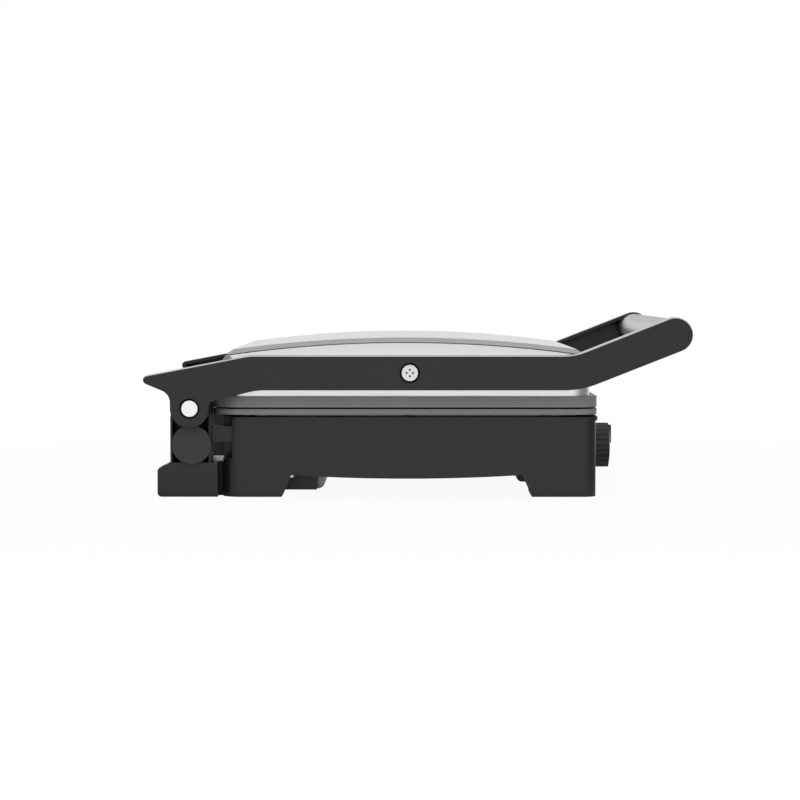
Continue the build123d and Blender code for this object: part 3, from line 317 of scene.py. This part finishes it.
def coated(name, colour, speck, roughness):
    """Non-stick coating on cast metal: small specks, a faint orange-peel relief and painted shade in gaps."""
    material, tree, shader = fresh(name)
    vector = place(tree)
    specks = noise(tree, vector, COATING_SPECK_SCALE, detail=1.0)
    peel = noise(tree, vector, COATING_PEEL_SCALE, detail=2.0)
    cloud = noise(tree, vector, COATING_CLOUD_SCALE)
    edges, rounded = edge_mask(tree, COATING_EDGE)
    body = blend_colours(tree, spread(tree, cloud, 0.0, 1.0), colour, scaled(colour, CLOUDED))
    dots = spread(tree, specks, 0.0, COATING_SPECK_SHARE, *COATING_SPECK_RANGE)
    dotted = blend_colours(tree, dots, body, speck)
    rubbed = blend_colours(tree, edges, dotted, scaled(colour, COATING_RUBBED))
    # Painted shade: the colour is darkened in gaps and recesses
    colour_out = dimmed(tree, rubbed, painted_gap_shade(tree, COATING_SHADE_REACH, COATING_SHADE_LEVEL))
    tree.links.new(colour_out, shader.inputs["Base Color"])
    tree.links.new(uneven(tree, peel, roughness, COATING_SWING), shader.inputs["Roughness"])
    tree.links.new(bump(tree, peel, COATING_PEEL_HEIGHT, COATING_RELIEF, rounded), shader.inputs["Normal"])
    shader.inputs["Specular IOR Level"].default_value = COATING_GLOSS
    return material


LENS_CLOUD_SCALE = 300.0
LENS_DARKER = 0.7
LENS_ROUGHNESS = (0.12, 0.2)
LENS_CLEARNESS = 0.35
LENS_COAT = 0.6


def tinted_lens(name, colour):
    """Clear tinted lens over a lamp."""
    material, tree, shader = fresh(name)
    cloud = noise(tree, place(tree), LENS_CLOUD_SCALE)
    colour_out = blend_colours(tree, spread(tree, cloud, 0.0, 1.0), colour, scaled(colour, LENS_DARKER))
    tree.links.new(colour_out, shader.inputs["Base Color"])
    tree.links.new(spread(tree, cloud, *LENS_ROUGHNESS), shader.inputs["Roughness"])
    shader.inputs["Transmission Weight"].default_value = LENS_CLEARNESS
    shader.inputs["Coat Weight"].default_value = LENS_COAT
    return material


# Colours of the black plastic, and the directions that the lines of each metal run in
BLACK = (0.0113, 0.0106, 0.0132)
RUBBED_BLACK = (0.028, 0.027, 0.030)
RUBBED_GREY = (0.06, 0.06, 0.062)
BLACK_ROUGHNESS = 0.33
ALONG_DEPTH = (1.0, 0.03, 1.0)
ALONG_HANDLE = (0.02, 1.0, 1.0)
ALONG_SHEET = (0.05, 1.0, 1.0)
NO_DIRECTION = (1.0, 1.0, 1.0)
TURNED_SCALE = 1500.0
# Colour and width of the painted highlight along the outer edge of the arms' upper faces
EDGE_HIGHLIGHT_COLOUR = (0.70, 0.70, 0.71)
EDGE_HIGHLIGHT_WIDTH = 1.5 * MM
ARM_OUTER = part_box("arm_right")[1][0]

finishes = {
    "dark_plastic": moulded("dark_plastic", BLACK, RUBBED_BLACK, BLACK_ROUGHNESS),
    "knob_plastic": moulded("knob_plastic", (0.026, 0.026, 0.027), RUBBED_GREY, 0.34, edge=0.4 * MM),
    "cap_plastic": moulded("cap_plastic", (0.030, 0.030, 0.030), RUBBED_GREY, 0.4),
    "rubber": moulded("rubber", (0.012, 0.012, 0.012), (0.02, 0.02, 0.02), 0.7, grain=900.0),
    "plate_coating": coated("plate_coating", (0.205, 0.205, 0.211), (0.28, 0.28, 0.29), 0.38),
    "lid_silver": metal("lid_silver", (0.80, 0.80, 0.81), (0.76, 0.76, 0.77), 0.20, ALONG_DEPTH),
    "satin_aluminium": metal("satin_aluminium", (0.76, 0.76, 0.78), (0.70, 0.70, 0.72), 0.42, ALONG_HANDLE),
    "bright_steel": metal(
        "bright_steel", (0.93, 0.93, 0.93), (0.86, 0.86, 0.86), 0.22, NO_DIRECTION, TURNED_SCALE, shade=0.93
    ),
    "pin_steel": metal(
        "pin_steel", (0.78, 0.78, 0.79), (0.72, 0.72, 0.73), 0.3, NO_DIRECTION, TURNED_SCALE, shade=0.95
    ),
    "sheet_steel": metal("sheet_steel", (0.50, 0.51, 0.52), (0.40, 0.41, 0.42), 0.38, ALONG_SHEET, 500.0),
    "element_steel": metal("element_steel", (0.16, 0.14, 0.13), (0.08, 0.07, 0.07), 0.5, NO_DIRECTION, 200.0),
    "tray_grey": moulded("tray_grey", (0.78, 0.78, 0.79), (0.8, 0.8, 0.8), 0.3, gloss=0.6),
    "inner_plastic": moulded("inner_plastic", (0.56, 0.53, 0.46), (0.6, 0.58, 0.5), 0.6),
    "lens": tinted_lens("lens", (0.62, 0.12, 0.02)),
    "print": moulded("print", (0.50, 0.50, 0.50), (0.5, 0.5, 0.5), 0.6),
}
# Arms get the painted highlight on their upward faces along the outer edge
arm_highlight_material = painted_edge_highlight(
    "arm_plastic", BLACK, RUBBED_BLACK, BLACK_ROUGHNESS, EDGE_HIGHLIGHT_COLOUR, ARM_OUTER, EDGE_HIGHLIGHT_WIDTH
)

slot_of = {row["node"]: row["material_slot"] for row in frame["record"]["subparts"]}
for name, node in nodes.items():
    node.data.materials.clear()
    node.data.materials.append(arm_highlight_material if name.startswith("arm_") else finishes[slot_of[name]])


def mesh_object(name, form, material):
    """Object made from a finished form, with one material."""
    mesh = bpy.data.meshes.new(name)
    form.to_mesh(mesh)
    form.free()
    mesh.materials.append(material)
    piece = bpy.data.objects.new(name, mesh)
    scene.collection.objects.link(piece)
    return piece


# Pivot pins: a turned head with four small holes in a cross, on the shank of the pin it stands for
PIN_EDGE = 0.35 * MM
PIN_EDGE_TURNS = (0, 30, 60, 90)
PIN_HEAD_HEIGHT = 1.6 * MM
PIN_SHANK_RADIUS = 4.0 * MM
PIN_SEGMENTS = 64
PIN_SMOOTH_ANGLE = 35
HOLE_COUNT = 4
HOLE_RADIUS = 0.8 * MM
HOLE_CIRCLE = 2.25 * MM
HOLE_DEPTH = 0.8 * PIN_HEAD_HEIGHT
HOLE_SEGMENTS = 16


def ring_of(form, centre, radius, x, count):
    """Circle of vertices across X."""
    turns = [2 * math.pi * step / count for step in range(count)]
    return [
        form.verts.new((x, centre.y + radius * math.cos(turn), centre.z + radius * math.sin(turn)))
        for turn in turns
    ]


def joined(form, first, second):
    """Band of faces between two circles of vertices."""
    for step in range(len(first)):
        following = (step + 1) % len(first)
        form.faces.new((first[step], first[following], second[following], second[step]))


def closed_loop(ring):
    """Edges round a circle of vertices."""
    return [
        edge
        for step in range(len(ring))
        for edge in ring[step].link_edges
        if edge.other_vert(ring[step]) == ring[(step + 1) % len(ring)]
    ]


def pin_rim(form, centre, radius, outer, side):
    """Circles of vertices that round the edge of a head, from its side to its face."""
    rim = []
    for turn in PIN_EDGE_TURNS:
        angle = math.radians(turn)
        inset = PIN_EDGE * (1 - math.cos(angle))
        depth = PIN_EDGE * (1 - math.sin(angle))
        rim.append(ring_of(form, centre, radius - inset, outer - side * depth, PIN_SEGMENTS))
    return rim


def blind_hole(form, centre, outer, side):
    """Walls and floor of a blind hole in a head, and the edges of its mouth."""
    mouth = ring_of(form, centre, HOLE_RADIUS, outer, HOLE_SEGMENTS)
    bottom = ring_of(form, centre, HOLE_RADIUS, outer - side * HOLE_DEPTH, HOLE_SEGMENTS)
    joined(form, mouth, bottom)
    form.faces.new(bottom)
    return closed_loop(mouth)


def pin_form(low, high, side):
    """Head with rounded rim and four blind holes, and its shank, along X from a node's box."""
    outer = high.x if side > 0 else low.x
    inner = low.x if side > 0 else high.x
    centre = (low + high) / 2
    radius = (high.y - low.y) / 2
    shoulder = outer - side * PIN_HEAD_HEIGHT
    form = bmesh.new()
    rim = pin_rim(form, centre, radius, outer, side)
    back = ring_of(form, centre, radius, shoulder, PIN_SEGMENTS)
    neck = ring_of(form, centre, PIN_SHANK_RADIUS, shoulder, PIN_SEGMENTS)
    end = ring_of(form, centre, PIN_SHANK_RADIUS, inner, PIN_SEGMENTS)
    joined(form, rim[0], back)
    joined(form, back, neck)
    joined(form, neck, end)
    form.faces.new(end)
    for first, second in zip(rim, rim[1:]):
        joined(form, first, second)
    edges = closed_loop(rim[-1])
    for step in range(HOLE_COUNT):
        turn = math.radians(360 * step / HOLE_COUNT)
        hole = centre + HOLE_CIRCLE * Vector((0, math.cos(turn), math.sin(turn)))
        edges += blind_hole(form, hole, outer, side)
    bmesh.ops.triangle_fill(form, use_beauty=True, edges=edges)
    bmesh.ops.recalc_face_normals(form, faces=form.faces)
    return form


def smooth_by_angle(mesh, limit):
    """Smooth shading except across edges sharper than the limit."""
    for polygon in mesh.polygons:
        polygon.use_smooth = True
    mesh.set_sharp_from_angle(angle=math.radians(limit))


for side, side_name in ((-1, "left"), (1, "right")):
    node_name = f"pivot_pin_{side_name}"
    pin_low, pin_high = (Vector(corner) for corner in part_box(node_name))
    turned_pin = pin_form(pin_low, pin_high, side)
    pin = mesh_object(f"pivot_pin_turned_{side_name}", turned_pin, finishes["pin_steel"])
    smooth_by_angle(pin.data, PIN_SMOOTH_ANGLE)
    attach(pin, "arms")
    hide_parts(node_name)


# Printed scale round the knob, with plain numbers and a short tick halfway between them
KNOB_STEPS = 5
SCALE_START = 225.0
SCALE_SWEEP = 270.0
PRINT_DEPTH = 0.12 * MM
FRONT_LIP = 1.4 * MM
TICK_GAP = 2.2 * MM
LONG_TICK = (3.2 * MM, 0.7 * MM)
SHORT_TICK = (1.8 * MM, 0.45 * MM)
NUMBER_SIZE = 5.2 * MM
NUMBER_GAP = 8.0 * MM

knob_low, knob_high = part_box("control_knob")
knob_centre = (Vector(knob_low) + Vector(knob_high)) / 2
knob_radius = (knob_high[0] - knob_low[0]) / 2
print_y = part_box("base_housing")[0][1] + FRONT_LIP - PRINT_DEPTH / 2
scale_centre = Vector((knob_centre.x, print_y, knob_centre.z))


def scale_place(angle, radius):
    """Place on the front wall at an angle round the knob's axis and a distance from it."""
    turn = math.radians(angle)
    return scale_centre + Vector((radius * math.cos(turn), 0, radius * math.sin(turn)))


def scale_ticks():
    """Long ticks at the numbers and short ones between them."""
    form = bmesh.new()
    last = 2 * (KNOB_STEPS - 1)
    for step in range(last + 1):
        angle = SCALE_START - SCALE_SWEEP * step / last
        length, width = LONG_TICK if step % 2 == 0 else SHORT_TICK
        matrix = (
            Matrix.Translation(scale_place(angle, knob_radius + TICK_GAP + length / 2))
            @ Matrix.Rotation(-math.radians(angle), 4, "Y")
            @ Matrix.Diagonal((length, PRINT_DEPTH, width, 1.0))
        )
        bmesh.ops.create_cube(form, size=1.0, matrix=matrix)
    return form


def scale_number(step):
    """Plain number beside its tick."""
    curve = bpy.data.curves.new(f"knob_number_{step + 1}", "FONT")
    curve.body = str(step + 1)
    curve.size = NUMBER_SIZE
    curve.extrude = PRINT_DEPTH / 2
    curve.align_x = "CENTER"
    curve.align_y = "CENTER"
    curve.materials.append(finishes["print"])
    number = bpy.data.objects.new(curve.name, curve)
    angle = SCALE_START - SCALE_SWEEP * step / (KNOB_STEPS - 1)
    number.location = scale_place(angle, knob_radius + NUMBER_GAP)
    number.rotation_euler = (math.radians(90), 0, 0)
    scene.collection.objects.link(number)
    return number


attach(mesh_object("knob_scale_ticks", scale_ticks(), finishes["print"]), "base")
for step in range(KNOB_STEPS):
    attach(scale_number(step), "base")


# Camera
camera_data = bpy.data.cameras.new("camera")
camera_data.sensor_width = SENSOR
camera_data.lens = FOCAL_PIXELS / FRAME_PIXELS * SENSOR
camera_data.clip_end = CAMERA_REACH
camera = bpy.data.objects.new("camera", camera_data)
arm_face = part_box("arm_left")[0][0]
camera.location = (arm_face - CAMERA_DISTANCE, CAMERA_ALONG, CAMERA_HEIGHT)
camera.rotation_euler = (math.radians(90 - CAMERA_PITCH), 0, math.radians(-90))
scene.collection.objects.link(camera)
scene.camera = camera


# Share of Y in a direction where the front and rear begin and where they are reached
ENDS_BEGIN = 0.55
ENDS_FULL = 0.95

# Floor that looks white to the camera and takes a faint shadow near the object. In reflections it is
# white at the sides and dark towards the front and rear
FLOOR_HALF_SIZE = 6.0
FLOOR_GREY = 0.8
FLOOR_END_LEVEL = 0.25
NEAR_GLOW_SHARE = 0.94
SHADOW_REACH = 0.7
SHADOW_CORE = 0.3


def floor_glow(tree, position, path):
    """Glow of the floor, dimmer in reflections towards the front and rear."""
    outward = vector_maths(tree, "NORMALIZE", "Vector", position)
    across = maths(tree, "ABSOLUTE", along(tree, outward, "Y"))
    ends = spread(tree, across, 1.0, FLOOR_END_LEVEL, ENDS_BEGIN, ENDS_FULL)
    glow = tree.nodes.new("ShaderNodeEmission")
    glow.inputs["Strength"].default_value = 1.0
    tree.links.new(maths(tree, "MAXIMUM", path.outputs["Is Camera Ray"], ends), glow.inputs["Color"])
    return glow.outputs["Emission"]


def white_floor():
    """Matt floor that mostly glows for camera rays and reflected rays, and wholly so away from the object."""
    material = bpy.data.materials.new("floor")
    material.use_nodes = True
    tree = material.node_tree
    tree.nodes.clear()
    position = place(tree)
    path = tree.nodes.new("ShaderNodeLightPath")
    matt = tree.nodes.new("ShaderNodeBsdfDiffuse")
    matt.inputs["Color"].default_value = (FLOOR_GREY, FLOOR_GREY, FLOOR_GREY, 1.0)
    distance = vector_maths(tree, "LENGTH", "Value", position)
    glowing = spread(tree, distance, NEAR_GLOW_SHARE, 1.0, SHADOW_CORE * SHADOW_REACH, SHADOW_REACH)
    seen = maths(tree, "MAXIMUM", path.outputs["Is Camera Ray"], path.outputs["Is Glossy Ray"])
    mix = tree.nodes.new("ShaderNodeMixShader")
    output = tree.nodes.new("ShaderNodeOutputMaterial")
    tree.links.new(maths(tree, "MULTIPLY", seen, glowing), mix.inputs["Fac"])
    tree.links.new(matt.outputs["BSDF"], mix.inputs[1])
    tree.links.new(floor_glow(tree, position, path), mix.inputs[2])
    tree.links.new(mix.outputs["Shader"], output.inputs["Surface"])
    return material


floor_form = bmesh.new()
bmesh.ops.create_grid(floor_form, x_segments=1, y_segments=1, size=FLOOR_HALF_SIZE)
mesh_object("floor", floor_form, white_floor())


# World: a plain white room to the camera. For everything else it has a light near wall, a far wall that
# is darker higher up, darker ends and a light ceiling, each given as levels by height above the horizon
NEAR_SIDE = ((0.0, 0.98), (0.12, 0.95), (0.3, 0.93), (0.75, 0.86), (1.0, 0.9))
FAR_SIDE = ((0.0, 0.95), (0.22, 0.82), (0.5, 0.37), (0.75, 0.5), (1.0, 0.9))
BOTH_ENDS = ((0.0, 0.26), (0.3, 0.46), (0.7, 0.72), (1.0, 0.9))
SIDES_MEET = 0.25


def wall_levels(tree, height, levels):
    """Grey by height above the horizon, from pairs of height and level."""
    ramp = tree.nodes.new("ShaderNodeValToRGB")
    stops = ramp.color_ramp.elements
    while len(stops) < len(levels):
        stops.new(0.5)
    for stop, (position, level) in zip(stops, levels):
        stop.position = position
        stop.color = (level, level, level, 1.0)
    tree.links.new(height, ramp.inputs["Fac"])
    return ramp.outputs["Color"]


def room_walls(tree):
    """Colour of the room in every direction."""
    direction = tree.nodes.new("ShaderNodeTexCoord").outputs["Generated"]
    height = along(tree, direction, "Z")
    near_side = wall_levels(tree, height, NEAR_SIDE)
    far_side = wall_levels(tree, height, FAR_SIDE)
    both_ends = wall_levels(tree, height, BOTH_ENDS)
    sideways = spread(tree, along(tree, direction, "X"), 0.0, 1.0, -SIDES_MEET, SIDES_MEET)
    across = maths(tree, "ABSOLUTE", along(tree, direction, "Y"))
    endways = spread(tree, across, 0.0, 1.0, ENDS_BEGIN, ENDS_FULL)
    return blend_colours(tree, endways, blend_colours(tree, sideways, near_side, far_side), both_ends)


world = bpy.data.worlds.new("studio")
scene.world = world
world.use_nodes = True
sky = world.node_tree
sky.nodes.clear()
background = sky.nodes.new("ShaderNodeBackground")
plain = sky.nodes.new("ShaderNodeBackground")
plain.inputs["Color"].default_value = (1.0, 1.0, 1.0, 1.0)
sky_path = sky.nodes.new("ShaderNodeLightPath")
world_mix = sky.nodes.new("ShaderNodeMixShader")
world_output = sky.nodes.new("ShaderNodeOutputWorld")
sky.links.new(room_walls(sky), background.inputs["Color"])
sky.links.new(sky_path.outputs["Is Camera Ray"], world_mix.inputs["Fac"])
sky.links.new(background.outputs["Background"], world_mix.inputs[1])
sky.links.new(plain.outputs["Background"], world_mix.inputs[2])
sky.links.new(world_mix.outputs["Shader"], world_output.inputs["Surface"])


# Lamps
def soft_light(name, location, target, size, power):
    """Large soft lamp that points at a place and doesn't show in reflections."""
    data = bpy.data.lights.new(name, "AREA")
    data.shape = "RECTANGLE"
    data.size = size[0]
    data.size_y = size[1]
    data.energy = power
    lamp = bpy.data.objects.new(name, data)
    lamp.location = location
    lamp.rotation_euler = (Vector(target) - Vector(location)).to_track_quat("-Z", "Y").to_euler()
    lamp.visible_glossy = False
    scene.collection.objects.link(lamp)


soft_light("overhead", location=(-0.3, -0.3, 1.6), target=(0, 0, 0.05), size=(1.2, 1.2), power=6.0)
soft_light("side_fill", location=(-2.2, 0.1, 0.9), target=(0, 0, 0.07), size=(1.2, 0.9), power=6.0)
